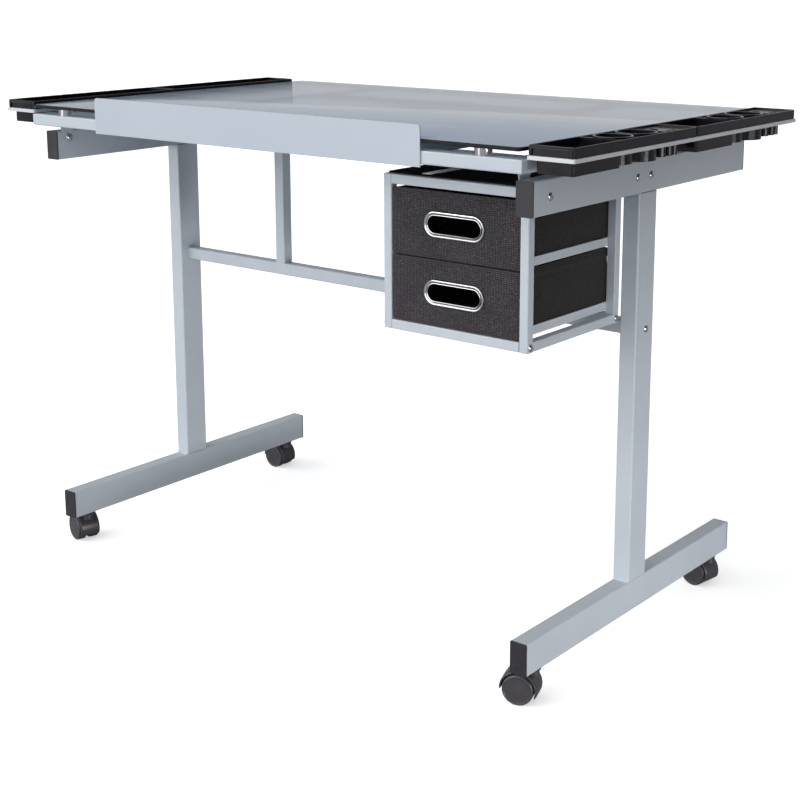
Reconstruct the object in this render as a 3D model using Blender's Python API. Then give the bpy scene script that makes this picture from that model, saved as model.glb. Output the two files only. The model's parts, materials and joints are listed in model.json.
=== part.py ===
"""Drafting table on casters: steel H-frame base, tilting glass top with a
sliding pencil ledge, four lift-off side trays and a two-drawer fabric cabinet.

Frame: metres, +Z up, +X to the user's right, -Y towards the user.
The origin is the centre of the footprint on the floor.
"""
import bpy
import bmesh
import math
from mathutils import Matrix, Vector

MM = 0.001

# ------------------------------------------------------------ driving sizes
GAP = 0.3                 # clearance kept between touching parts, mm
YS = -4.2                 # moves the base's centre plane so that the box is centred

HALF_W = 454.5            # half the width over the outer faces of the legs
TUBE_W = 25.0             # main tube, narrow side
TUBE_H = 44.0             # main tube, tall side
WALL = 1.5                # main tube wall
FOOT_L = 540.0            # foot and rail length
FOOT_Z0 = 50.5            # underside of the feet
RAIL_Z0 = 637.0           # underside of the side rails
POST_D = 45.5             # post depth, front to back
POST_YC = -0.8            # post centre
BAR = 19.0                # square tube of the back frame
BAR_YC = 2.0
STRETCHER_Z0 = 441.0
CROSS_Z0 = 649.5
UPRIGHT_X = 213.0

FRAME_Z0 = 692.0          # top frame, underside
FRAME_Z1 = 709.0
FRAME_D = 296.0           # half depth of the top frame
FRAME_W = 25.0            # width of its tubes
SLAT_X0, SLAT_X1 = 225.0, 249.5
CROSSPIECE_Y0, CROSSPIECE_Y1 = 99.0, 143.0

SPACER_D, SPACER_Z1 = 22.0, 718.2
GLASS_X, GLASS_Y0, GLASS_Y1 = 450.9, -296.2, 306.5
GLASS_Z0, GLASS_Z1 = 718.5, 723.5

TILT_Y, TILT_Z = -252.5, 670.5      # hinge axis of the top
PROP_Y, PROP_Z, PROP_L = 2.0, 677.0, 199.3
CATCH_Y, CATCH_Z = 93.0, 678.0

LEDGE_X, LEDGE_Z0, LEDGE_Z1 = 304.8, 688.6, 741.0
LEDGE_Y0, LEDGE_Y1 = -298.1, -296.6

RING_X0, RING_X1, RING_Y = 457.2, 524.0, 292.0
RING_Z0, RING_Z1 = 709.5, 714.5
TRAY_X0, TRAY_X1 = 458.4, 522.2
TRAY_Z0, TRAY_ZM, TRAY_Z1 = 693.5, 714.8, 726.8
TRAY_PITCH = TRAY_X0 + TRAY_X1             # from a right tray to the left one, which is the same way round

CAB_X0, CAB_X1 = 200.7, 429.2
CAB_Y0, CAB_Y1 = -242.2, -26.6
CAB_Z0, CAB_Z1 = 461.4, 666.9
CAB_T = 12.7

STEM_X, STEM_Y = 442.0, 237.0
WHEEL_R, TRAIL = 21.0, 16.3

# ------------------------------------------------------------------- scene
for ob in list(bpy.data.objects):
    bpy.data.objects.remove(ob, do_unlink=True)

scene = bpy.context.scene
parts = bpy.data.collections.new("drafting_table")
cutters = bpy.data.collections.new("cutters")
scene.collection.children.link(parts)
scene.collection.children.link(cutters)


def material(name, color, rough, metal=0.0, trans=0.0):
    m = bpy.data.materials.new(name)
    m.use_nodes = True
    b = m.node_tree.nodes["Principled BSDF"]
    b.inputs["Base Color"].default_value = (*color, 1.0)
    b.inputs["Roughness"].default_value = rough
    b.inputs["Metallic"].default_value = metal
    if trans:
        b.inputs["Transmission Weight"].default_value = trans
    m.diffuse_color = (*color, 1.0)
    return m


def steel():
    return material("silver_blue_powder_coat", (0.42, 0.47, 0.52), 0.42, 0.35)


def plastic():
    return material("black_plastic", (0.035, 0.033, 0.038), 0.38)


def fabric():
    return material("black_woven_fabric", (0.03, 0.028, 0.03), 0.9)


def chrome():
    return material("chrome", (0.75, 0.75, 0.77), 0.12, 1.0)


def rubber():
    return material("black_rubber", (0.02, 0.02, 0.02), 0.8)


# ------------------------------------------------------------- shape helpers
def add(name, bm, mat=None, coll=None, smooth=None):
    """Make an object from a bmesh given in millimetres."""
    bmesh.ops.scale(bm, vec=(MM, MM, MM), verts=bm.verts)
    bmesh.ops.recalc_face_normals(bm, faces=bm.faces)
    me = bpy.data.meshes.new(name)
    bm.to_mesh(me)
    bm.free()
    ob = bpy.data.objects.new(name, me)
    (coll or parts).objects.link(ob)
    if mat:
        me.materials.append(mat)
    if smooth:
        me.shade_smooth()
        me.set_sharp_from_angle(angle=math.radians(smooth))
    return ob


def cutter(name, bm):
    ob = add(name, bm, coll=cutters)
    ob.hide_render = True
    ob.display_type = "WIRE"
    return ob


def cube(x0, x1, y0, y1, z0, z1, r=0.0, seg=2, axes="XYZ"):
    """A box between two corners, its edges along the given axes rounded by r."""
    bm = bmesh.new()
    bmesh.ops.create_cube(bm, size=1.0)
    bmesh.ops.scale(bm, vec=(x1 - x0, y1 - y0, z1 - z0), verts=bm.verts)
    bmesh.ops.translate(bm, vec=((x0 + x1) / 2, (y0 + y1) / 2 + YS, (z0 + z1) / 2), verts=bm.verts)
    if r > 0:
        pick = []
        for e in bm.edges:
            d = e.verts[1].co - e.verts[0].co
            ax = "XYZ"[max(range(3), key=lambda i: abs(d[i]))]
            if ax in axes:
                pick.append(e)
        bmesh.ops.bevel(bm, geom=pick, offset=r, segments=seg, profile=0.5, affect="EDGES")
    return bm


def cyl(p, axis, r, h, seg=24, r2=None):
    """A cylinder starting at p and running h along the axis."""
    bm = bmesh.new()
    bmesh.ops.create_cone(bm, cap_ends=True, segments=seg, radius1=r,
                          radius2=r if r2 is None else r2, depth=h)
    bmesh.ops.translate(bm, vec=(0, 0, h / 2), verts=bm.verts)
    if axis == "X":
        bmesh.ops.rotate(bm, cent=(0, 0, 0), matrix=Matrix.Rotation(math.pi / 2, 3, "Y"), verts=bm.verts)
    elif axis == "Y":
        bmesh.ops.rotate(bm, cent=(0, 0, 0), matrix=Matrix.Rotation(-math.pi / 2, 3, "X"), verts=bm.verts)
    bmesh.ops.translate(bm, vec=(p[0], p[1] + YS, p[2]), verts=bm.verts)
    return bm


def outline(points, axis, a0, a1, shift=True):
    """A flat outline swept from a0 to a1 along an axis.
    The outline's points are (x, z) for axis Y, (y, z) for axis X, (x, y) for Z."""
    bm = bmesh.new()
    ys = YS if shift else 0.0

    def at(p, a):
        if axis == "Y":
            return (p[0], a + ys, p[1])
        if axis == "X":
            return (a, p[0] + ys, p[1])
        return (p[0], p[1] + ys, a)

    face = bm.faces.new([bm.verts.new(at(p, a0)) for p in points])
    ext = bmesh.ops.extrude_face_region(bm, geom=[face])
    top = [v for v in ext["geom"] if isinstance(v, bmesh.types.BMVert)]
    step = Vector(at((0, 0), a1)) - Vector(at((0, 0), a0))
    bmesh.ops.translate(bm, vec=step, verts=top)
    return bm


def boolean(ob, tool, op="DIFFERENCE", drop=False):
    mod = ob.modifiers.new(op.lower(), "BOOLEAN")
    mod.operation = op
    mod.object = tool
    mod.solver = "EXACT"
    return mod


def apply_all(ob):
    """Replace the object's mesh by its evaluated one and clear the modifiers."""
    dg = bpy.context.evaluated_depsgraph_get()
    dg.update()
    me = bpy.data.meshes.new_from_object(ob.evaluated_get(dg))
    old = ob.data
    ob.modifiers.clear()
    ob.data = me
    me.name = ob.name
    bpy.data.meshes.remove(old)
    return ob


def solid(name, bm, mat, plus=(), minus=(), smooth=None):
    """One solid: bm, joined with the plus shapes, less the minus shapes."""
    ob = add(name, bm, mat)
    for i, b in enumerate(plus):
        boolean(ob, cutter(f"{name}_add{i}", b), "UNION")
    for i, b in enumerate(minus):
        boolean(ob, cutter(f"{name}_cut{i}", b), "DIFFERENCE")
    if plus or minus:
        apply_all(ob)
        for tool in [t for t in cutters.objects if t.name.startswith(name + "_add") or t.name.startswith(name + "_cut")]:
            bpy.data.objects.remove(tool, do_unlink=True)
    if smooth:
        ob.data.shade_smooth()
        ob.data.set_sharp_from_angle(angle=math.radians(smooth))
    return ob


def mirror_x(bm):
    """The same shape on the other side of the table."""
    bmesh.ops.scale(bm, vec=(-1, 1, 1), verts=bm.verts)
    bmesh.ops.reverse_faces(bm, faces=bm.faces)
    return bm


def side(bm, s):
    return bm if s > 0 else mirror_x(bm)


def tube(name, x0, x1, y0, y1, z0, z1, axis, wall, mat, r=2.0, extra=()):
    """A rectangular tube, open at both ends."""
    e = 2.0
    ends = {"X": (e, 0, 0), "Y": (0, e, 0), "Z": (0, 0, e)}[axis]
    w = [0 if a == axis else wall for a in "XYZ"]
    inner = cube(x0 + w[0] - ends[0], x1 - w[0] + ends[0], y0 + w[1] - ends[1], y1 - w[1] + ends[1],
                 z0 + w[2] - ends[2], z1 - w[2] + ends[2])
    return solid(name, cube(x0, x1, y0, y1, z0, z1, r=r, axes=axis), mat, minus=[inner, *extra])


# -------------------------------------------------------------------- base
XI = HALF_W - TUBE_W                      # inner face of feet, posts and rails
FOOT_Z1 = FOOT_Z0 + TUBE_H
RAIL_Z1 = RAIL_Z0 + TUBE_H
base_parts = []

for s, tag in ((1, "R"), (-1, "L")):
    lo, hi = (XI, HALF_W) if s > 0 else (-HALF_W, -XI)
    holes = [cyl((s * STEM_X, y, FOOT_Z0 - 3), "Z", 4.6, 8, 20) for y in (-STEM_Y, STEM_Y)]
    base_parts.append(tube("foot_" + tag, lo, hi, -FOOT_L / 2, FOOT_L / 2, FOOT_Z0, FOOT_Z1, "Y", WALL,
                           steel(), extra=holes))
    base_parts.append(tube("post_" + tag, lo, hi, POST_YC - POST_D / 2, POST_YC + POST_D / 2,
                           FOOT_Z1 + GAP, RAIL_Z0 - GAP, "Z", WALL, steel()))
    # the hinge bolt passes through the inner wall of the rail
    bolt_hole = cyl((s * (XI - 3), TILT_Y, TILT_Z), "X", 3.6, s * 8 if s > 0 else 8, 20)
    if s < 0:
        bolt_hole = cyl((-(XI + 5), TILT_Y, TILT_Z), "X", 3.6, 8, 20)
    base_parts.append(tube("rail_" + tag, lo, hi, -FOOT_L / 2, FOOT_L / 2, RAIL_Z0, RAIL_Z1, "Y", WALL,
                           steel(), extra=[bolt_hole]))
    for kind, z0, z1 in (("foot", FOOT_Z0, FOOT_Z1), ("rail", RAIL_Z0, RAIL_Z1)):
        for e, end in ((-1, "front"), (1, "rear")):
            y_end = e * FOOT_L / 2
            ya, yb = sorted((y_end + e * GAP, y_end + e * 2.0))
            pa, pb = sorted((y_end + e * (GAP + 0.4), y_end - e * 12.0))
            flange = cube(lo, hi, ya, yb, z0, z1, r=1.6, axes="Y")
            plug = cube(lo + WALL + 0.4, hi - WALL - 0.4, pa, pb, z0 + WALL + 0.4, z1 - WALL - 0.4)
            base_parts.append(solid(f"{kind}_cap_{end}_{tag}", flange, plastic(), plus=[plug]))

# back frame: stretcher, two uprights and crossbar, welded into one ladder
B = BAR / 2
by0, by1 = BAR_YC - B, BAR_YC + B
xe = XI - GAP
t = 1.2


def sq(x0, x1, z0, z1, w=0.0, open_x=0.0):
    return cube(x0 + w - open_x, x1 - w + open_x, by0 + w, by1 - w, z0 + w, z1 - w,
                r=0.0 if w else 1.2, axes="XZ", seg=1)


back = solid("back_frame",
             cube(-xe, xe, by0, by1, STRETCHER_Z0, STRETCHER_Z0 + BAR, r=1.2, seg=1, axes="X"), steel(),
             plus=[cube(-xe, xe, by0, by1, CROSS_Z0, CROSS_Z0 + BAR, r=1.2, seg=1, axes="X")]
             + [cube(s * UPRIGHT_X - B, s * UPRIGHT_X + B, by0, by1, STRETCHER_Z0 + 3, CROSS_Z0 + BAR - 3,
                     r=1.2, seg=1, axes="Z") for s in (-1, 1)],
             minus=[cube(-xe - 2, xe + 2, by0 + t, by1 - t, z + t, z + BAR - t) for z in (STRETCHER_Z0, CROSS_Z0)]
             + [cube(s * UPRIGHT_X - B + t, s * UPRIGHT_X + B - t, by0 + t + 0.01, by1 - t - 0.01,
                     STRETCHER_Z0 + 8, CROSS_Z0 + BAR - 8) for s in (-1, 1)])
base_parts.append(back)

# cabinet frame: two welded sides with drawer runners, joined by four bars
RUN_Z = (478.7, 566.0)                      # underside of the lower and upper runners
for s, tag in ((1, "R"), (-1, "L")):
    a, b = (CAB_X1 - CAB_T, CAB_X1) if s > 0 else (CAB_X0, CAB_X0 + CAB_T)
    inward = a if s > 0 else b              # inner face of the stile
    d = -s                                  # from that face towards the drawers
    e = 0.15                                # the rails sit just inside the stiles' faces
    plus = [cube(a, b, CAB_Y1 - CAB_T, CAB_Y1, CAB_Z0, CAB_Z1, r=0.8, seg=1, axes="Z"),
            cube(a + e, b - e, CAB_Y0 + 2, CAB_Y1 - 2, CAB_Z1 - CAB_T, CAB_Z1 - e, r=0.8, seg=1, axes="Y"),
            cube(a + e, b - e, CAB_Y0 + 2, CAB_Y1 - 2, CAB_Z0 + e, CAB_Z0 + CAB_T, r=0.8, seg=1, axes="Y")]
    for z in RUN_Z:                         # angle-section drawer runners
        plus.append(outline([(inward - 0.7 * d, z), (inward + 12.0 * d, z), (inward + 12.0 * d, z + 1.4),
                             (inward + 1.7 * d, z + 1.4), (inward + 1.7 * d, z + 11.5), (inward - 0.7 * d, z + 11.5)],
                            "Y", CAB_Y0 + 8, CAB_Y1 - 4))
    if s < 0:                               # standoffs to the back frame's upright
        for z in (490.0, 640.0):
            plus.append(cyl(((a + b) / 2, CAB_Y1 - 0.6, z), "Y", 4.0, by0 - GAP - CAB_Y1 + 0.6, 16))
    w = 1.2
    minus = [cube(a + w, b - w, CAB_Y0 + w, CAB_Y0 + CAB_T - w, CAB_Z0 - 1, CAB_Z1 - w),
             cube(a + w, b - w, CAB_Y1 - CAB_T + w, CAB_Y1 - w, CAB_Z0 - 1, CAB_Z1 - w),
             cube(a + w + e, b - w - e, CAB_Y0 + 5, CAB_Y1 - 5, CAB_Z1 - CAB_T + w, CAB_Z1 - w - 2 * e),
             cube(a + w + e, b - w - e, CAB_Y0 + 5, CAB_Y1 - 5, CAB_Z0 + w + e, CAB_Z0 + CAB_T - w)]
    base_parts.append(solid("cabinet_side_" + tag,
                            cube(a, b, CAB_Y0, CAB_Y0 + CAB_T, CAB_Z0, CAB_Z1, r=0.8, seg=1, axes="Z"),
                            steel(), plus=plus, minus=minus))
ia, ib = CAB_X0 + CAB_T + GAP, CAB_X1 - CAB_T - GAP
for end, y0 in (("front", CAB_Y0), ("rear", CAB_Y1 - CAB_T)):
    for lvl, z0 in (("top", CAB_Z1 - CAB_T), ("bottom", CAB_Z0)):
        base_parts.append(tube(f"cabinet_bar_{end}_{lvl}", ia, ib, y0, y0 + CAB_T, z0, z0 + CAB_T, "X", 1.2,
                               steel(), r=0.8))

# stiff dust cover lying on the cabinet frame, over the drawers
base_parts.append(add("cabinet_top_panel", cube(CAB_X0 + 1.0, CAB_X1 - 1.0, CAB_Y0 + 9.0, CAB_Y1 - 1.0, CAB_Z1 + GAP,
                                                CAB_Z1 + GAP + 1.8, r=2.0, seg=2, axes="Z"), fabric()))

# rubber rests under the rear corners of the top
for s, tag in ((1, "R"), (-1, "L")):
    x0, x1 = sorted((s * (XI + 2.5), s * (HALF_W - 2.5)))
    base_parts.append(solid("rest_bumper_" + tag,
                            cube(x0, x1, 222, 250, RAIL_Z1 + GAP, FRAME_Z0 - GAP, r=2.0, seg=2, axes="Z"), rubber()))

# pivot bracket of the prop, on the middle of the crossbar
pz0 = CROSS_Z0 + BAR + GAP
prop_bracket = solid(
    "prop_bracket", cube(-16, 16, by0 + 1, by1 - 1, pz0, pz0 + 2.0, r=0.6, seg=1, axes="Z"), steel(),
    plus=[cube(x0, x0 + 2.0, PROP_Y - 7, PROP_Y + 7, pz0, PROP_Z + 7, r=4.5, seg=3, axes="X") for x0 in (-11.0, 9.0)]
    + [cyl((-13.0, PROP_Y, PROP_Z), "X", 2.5, 26.0, 20)])
base_parts.append(prop_bracket)

# ------------------------------------------------------------ tilting top
top_parts = []


def mitred(name, lead, along, s):
    """One member of the top frame, cut at 45 degrees at both ends.
    lead is the outer face's coordinate, along the half length there."""
    def shape(w, ext):
        o, i = lead - w, lead - FRAME_W + w
        z0, z1 = FRAME_Z0 + w, FRAME_Z1 - w
        if name in ("top_frame_front", "top_frame_rear"):
            bm = cube(-100, 100, *sorted((s * i, s * o)), z0, z1, r=0.0 if w else 1.5, axes="X", seg=2)
            for v in bm.verts:
                out = s * (v.co.y - YS)                       # distance from the centre plane
                half = along - (lead - out) - 0.2 + ext
                v.co.x = math.copysign(half, v.co.x)
        else:
            bm = cube(*sorted((s * i, s * o)), -100, 100, z0, z1, r=0.0 if w else 1.5, axes="Y", seg=2)
            for v in bm.verts:
                half = along - (lead - s * v.co.x) - 0.2 + ext
                v.co.y = math.copysign(half, v.co.y - YS) + YS
        return bm
    return solid(name, shape(0.0, 0.0), steel(), minus=[shape(1.3, 4.0)])


top_parts.append(mitred("top_frame_front", FRAME_D, HALF_W, -1))
top_parts.append(mitred("top_frame_rear", FRAME_D, HALF_W, 1))
top_parts.append(mitred("top_frame_left", HALF_W, FRAME_D, -1))
top_parts.append(mitred("top_frame_right", HALF_W, FRAME_D, 1))

ye = FRAME_D - FRAME_W - GAP
bz0, bz1 = FRAME_Z0 + 0.2, FRAME_Z1 - 0.2
t = 1.3
top_parts.append(solid(
    "under_brace", cube(SLAT_X0, SLAT_X1, -ye, ye, bz0, bz1, r=1.2, seg=1, axes="Y"), steel(),
    plus=[cube(-SLAT_X1, -SLAT_X0, -ye, ye, bz0, bz1, r=1.2, seg=1, axes="Y"),
          cube(-SLAT_X0 - 4, SLAT_X0 + 4, CROSSPIECE_Y0, CROSSPIECE_Y1, bz0, bz1, r=1.2, seg=1, axes="X")],
    minus=[cube(SLAT_X0 + t, SLAT_X1 - t, -ye - 2, ye + 2, bz0 + t, bz1 - t),
           cube(-SLAT_X1 + t, -SLAT_X0 - t, -ye - 2, ye + 2, bz0 + t, bz1 - t),
           cube(-SLAT_X0 - 8, SLAT_X0 + 8, CROSSPIECE_Y0 + t, CROSSPIECE_Y1 - t, bz0 + t + 0.01, bz1 - t - 0.01)]))

top_parts.append(add("glass_top", cube(-GLASS_X, GLASS_X, GLASS_Y0, GLASS_Y1, GLASS_Z0, GLASS_Z1, r=4.0, seg=3, axes="Z"),
                     material("frosted_blue_glass", (0.55, 0.62, 0.70), 0.15, 0.0, 0.6)))

for xn, xc in (("left", -390.0), ("centre", 0.0), ("right", 390.0)):
    for yn, yc in (("front", -FRAME_D + FRAME_W / 2), ("rear", FRAME_D - FRAME_W / 2)):
        top_parts.append(add(f"glass_spacer_{yn}_{xn}",
                             cyl((xc, yc, FRAME_Z1 + GAP), "Z", SPACER_D / 2, SPACER_Z1 - FRAME_Z1 - GAP, 28),
                             chrome(), smooth=40))

# flat-bar rings that carry the side trays
for s, tag in ((1, "R"), (-1, "L")):
    ring = cube(RING_X0, RING_X1, -RING_Y, RING_Y, RING_Z0, RING_Z1, r=3.0, seg=3, axes="Z")
    tabs = [cube(434.0, RING_X0 + 1.5, yc - 12, yc + 12, RING_Z0, RING_Z1 - 1.5) for yc in (-200.0, 0.0, 200.0)]
    dx = 0.0 if s > 0 else -TRAY_PITCH
    holes = [cube(RING_X0 + 9.0 + dx, RING_X1 - 4.6 + dx, *sorted((e * 3.0, e * (RING_Y - 4.5))), RING_Z0 - 3, RING_Z1 + 3,
                  r=2.0, seg=2, axes="Z") for e in (-1, 1)]
    top_parts.append(solid("tray_ring_" + tag, side(ring, s), steel(),
                           plus=[side(b, s) for b in tabs], minus=holes))

# hinge brackets with their pivot bolts, on the inner faces of the side members
HINGE_R = 8.4
for s, tag in ((1, "R"), (-1, "L")):
    pts = [(TILT_Y + 12.0, FRAME_Z1 - 4.0), (TILT_Y - 12.0, FRAME_Z1 - 4.0), (TILT_Y - 12.0, FRAME_Z0 - 6.0)]
    for k in range(0, 9):
        ang = math.pi + math.pi * k / 8
        pts.append((TILT_Y + HINGE_R * math.cos(ang), TILT_Z + HINGE_R * math.sin(ang)))
    pts.append((TILT_Y + 12.0, FRAME_Z0 - 6.0))
    plate = outline(pts, "X", XI - 2.4, XI - GAP)
    head = cyl((XI - 6.0, TILT_Y, TILT_Z), "X", 5.5, 4.0, 20)
    shank = cyl((XI - 5.0, TILT_Y, TILT_Z), "X", 3.1, 12.0, 20)
    screws = [cyl((XI - 3.9, TILT_Y + dy, FRAME_Z1 - 9.0), "X", 2.8, 2.0, 16) for dy in (-7.0, 7.0)]
    top_parts.append(solid("hinge_bracket_" + tag, side(plate, s), steel(),
                           plus=[side(b, s) for b in (head, shank, *screws)]))

# catch for the prop, under the middle of the top
cx, ct = 13.0, 2.0
catch_base = cube(-43, 43, CROSSPIECE_Y0 + 1, CROSSPIECE_Y0 + 19, bz0 - GAP - 2.0, bz0 - GAP, r=2.0, seg=2, axes="Z")
cheeks, slots = [], []
for s in (-1, 1):
    x0, x1 = sorted((s * cx, s * (cx + ct)))
    cheeks.append(cube(x0, x1, CATCH_Y - 9, CATCH_Y + 12, 664.0, bz0 - GAP - 0.2, r=0.0))
catch_base2 = cube(-cx - ct, cx + ct, CATCH_Y - 9, CROSSPIECE_Y0 + 5, bz0 - GAP - 2.0, bz0 - GAP)
slots = [cube(-30, 30, CATCH_Y, CATCH_Y + 20, CATCH_Z - 4.0, CATCH_Z + 4.0),
         cyl((-30, CATCH_Y, CATCH_Z), "X", 4.0, 60, 20)]
top_parts.append(solid("tilt_catch", catch_base, steel(), plus=[catch_base2] + cheeks, minus=slots))

# -------------------------------------------------------------- prop arm
arm = cube(-7, 7, PROP_Y, PROP_Y + PROP_L, PROP_Z - 5, PROP_Z + 5, r=1.0, seg=1, axes="Y")
prop_arm = solid("prop_arm", arm, steel(),
                 plus=[cyl((-7, PROP_Y, PROP_Z), "X", 6.0, 14, 24),
                       cyl((-7, PROP_Y + PROP_L, PROP_Z), "X", 5.6, 14, 24),
                       cyl((-18, PROP_Y + PROP_L, PROP_Z), "X", 2.5, 36, 20)],
                 minus=[cyl((-20, PROP_Y, PROP_Z), "X", 3.0, 40, 20)])

# ---------------------------------------------------------- pencil ledge
pts = [(-LEDGE_X, LEDGE_Z0), (LEDGE_X, LEDGE_Z0)]
rc = 5.0
for cxs, a0 in ((1, 0.0), (-1, math.pi / 2)):
    for k in range(0, 6):
        a = a0 + (math.pi / 2) * k / 5
        pts.append((cxs * (LEDGE_X - rc) + rc * math.cos(a), LEDGE_Z1 - rc + rc * math.sin(a)))
ledge = outline(pts, "Y", LEDGE_Y0, LEDGE_Y1)
clips = []
yb = -FRAME_D + FRAME_W
for xc in (-150.0, 150.0):                  # straps that wrap under the front tube
    strap = [(LEDGE_Y1 - 0.5, FRAME_Z0 - 2.3), (yb + 2.2, FRAME_Z0 - 2.3), (yb + 2.2, FRAME_Z0 + 10),
             (yb + 0.5, FRAME_Z0 + 10), (yb + 0.5, FRAME_Z0 - 0.6), (LEDGE_Y1 - 0.5, FRAME_Z0 - 0.6)]
    clips.append(outline(strap, "X", xc - 12, xc + 12))
pencil_ledge = solid("pencil_ledge", ledge,
                     material("ledge_silver_paint", (0.62, 0.66, 0.72), 0.4, 0.3), plus=clips)

# -------------------------------------------------------------- side trays
tray_objects = {}


def tray_shell(y0, y1):
    """The tray's skirt above the ring."""
    outer = cube(TRAY_X0, TRAY_X1, y0, y1, TRAY_ZM, TRAY_Z1, r=3.0, seg=2, axes="Z")
    return outer


LOW_X0, LOW_X1 = TRAY_X0 + 9.0, TRAY_X1 - 3.2       # the lower body passes through the ring
WT = 1.8                                            # plastic wall

for yn, y0, y1 in (("front", -RING_Y + 1.8, -0.8), ("rear", 0.8, RING_Y - 1.8)):
    # --- right: one square well, two cups and a group of pen tubes
    deck_z = TRAY_Z1 - 2.5
    rect = (y0 + 6.0, y0 + 105.0)
    cups = ((y0 + 131.0, 24.0), (y0 + 186.0, 25.5))
    cxm = (LOW_X0 + LOW_X1) / 2
    tubes = [(cxm + 13.0, y0 + 223.0, 7.4), (cxm + 16.0, y0 + 238.5, 5.2), (cxm + 16.0, y0 + 251.5, 5.2),
             (cxm - 10.0, y0 + 228.0, 6.6), (cxm - 10.0, y0 + 244.5, 6.6)]
    plus = [cube(LOW_X0, LOW_X1, rect[0] - WT, rect[1] + WT, TRAY_Z0, TRAY_ZM + 4, r=3.0, seg=2, axes="Z")]
    minus = [cube(TRAY_X0 + WT, TRAY_X1 - WT, rect[1] + WT, y1 - WT, TRAY_ZM - 1, deck_z - WT)]
    for yc, r in cups:
        plus.append(cyl((cxm, yc, TRAY_Z0 + (0 if r > 25 else 1.5)), "Z", r, TRAY_Z1 + 1.2 - TRAY_Z0 - (0 if r > 25 else 1.5), 32))
    for xc, yc, r in tubes:
        plus.append(cyl((xc, yc, TRAY_Z0 + 1.0), "Z", r, deck_z - TRAY_Z0 - 0.2, 16))
    wells = [cube(LOW_X0 + WT, LOW_X1 - WT, rect[0], rect[1], TRAY_Z0 + WT, TRAY_Z1 + 3, r=2.0, seg=1, axes="Z")]
    # the well's upper part reaches out over the ring
    wells.append(cube(TRAY_X0 + 3.0, TRAY_X1 - 3.0, rect[0], rect[1], TRAY_ZM + WT, TRAY_Z1 + 3))
    wells += [cyl((cxm, yc, TRAY_Z0 + 1.5 + WT), "Z", r - WT, 60, 32) for yc, r in cups]
    wells += [cyl((xc, yc, TRAY_Z0 + 1.0 + WT), "Z", r - WT, 60, 16) for xc, yc, r in tubes]
    # shallow recess in the end wall
    end_y = (y0 - 2, y0 + 1.6) if yn == "front" else (y1 - 1.6, y1 + 2)
    wells.append(cube(TRAY_X0 + 4.5, TRAY_X1 - 8.0, *end_y, TRAY_ZM - 1, TRAY_Z1 - 2.8))

    name = f"tray_right_{yn}"
    ob = add(name, tray_shell(y0, y1), plastic())
    # underside first, so that the cups are joined to the open shell
    steps = [("DIFFERENCE", b) for b in minus]
    steps.append(("DIFFERENCE", cube(TRAY_X0 + 3.0, TRAY_X1 - 3.0, rect[1] + 2 * WT, y1 - 3.0, deck_z, TRAY_Z1 + 3)))
    steps += [("UNION", b) for b in plus]
    steps += [("DIFFERENCE", b) for b in wells]
    for i, (op, b) in enumerate(steps):
        boolean(ob, cutter(f"{name}_step{i}", b), op)
    apply_all(ob)
    for tool in [o for o in cutters.objects if o.name.startswith(name + "_step")]:
        bpy.data.objects.remove(tool, do_unlink=True)
    ob.data.shade_smooth()
    ob.data.set_sharp_from_angle(angle=math.radians(35))
    tray_objects[name] = ob

    # --- left: one long open trough
    name = f"tray_left_{yn}"
    dx = -TRAY_PITCH
    shell = cube(TRAY_X0 + dx, TRAY_X1 + dx, y0, y1, TRAY_ZM, TRAY_Z1, r=3.0, seg=2, axes="Z")
    low = cube(LOW_X0 + dx, LOW_X1 + dx, y0 + 6, y1 - 6, TRAY_Z0, TRAY_ZM + 4, r=3.0, seg=2, axes="Z")
    well_low = cube(LOW_X0 + WT + dx, LOW_X1 - WT + dx, y0 + 6 + WT, y1 - 6 - WT, TRAY_Z0 + WT, TRAY_Z1 + 3,
                    r=2.0, seg=1, axes="Z")
    well_up = cube(TRAY_X0 + 3.0 + dx, TRAY_X1 - 3.0 + dx, y0 + 4.0, y1 - 3.0, TRAY_ZM + WT, TRAY_Z1 + 3)
    recess = cube(TRAY_X0 + 4.5 + dx, TRAY_X1 - 8.0 + dx, *end_y, TRAY_ZM - 1, TRAY_Z1 - 2.8)
    tray_objects[name] = solid(name, shell, plastic(), plus=[low], minus=[well_low, well_up, recess], smooth=35)

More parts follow.
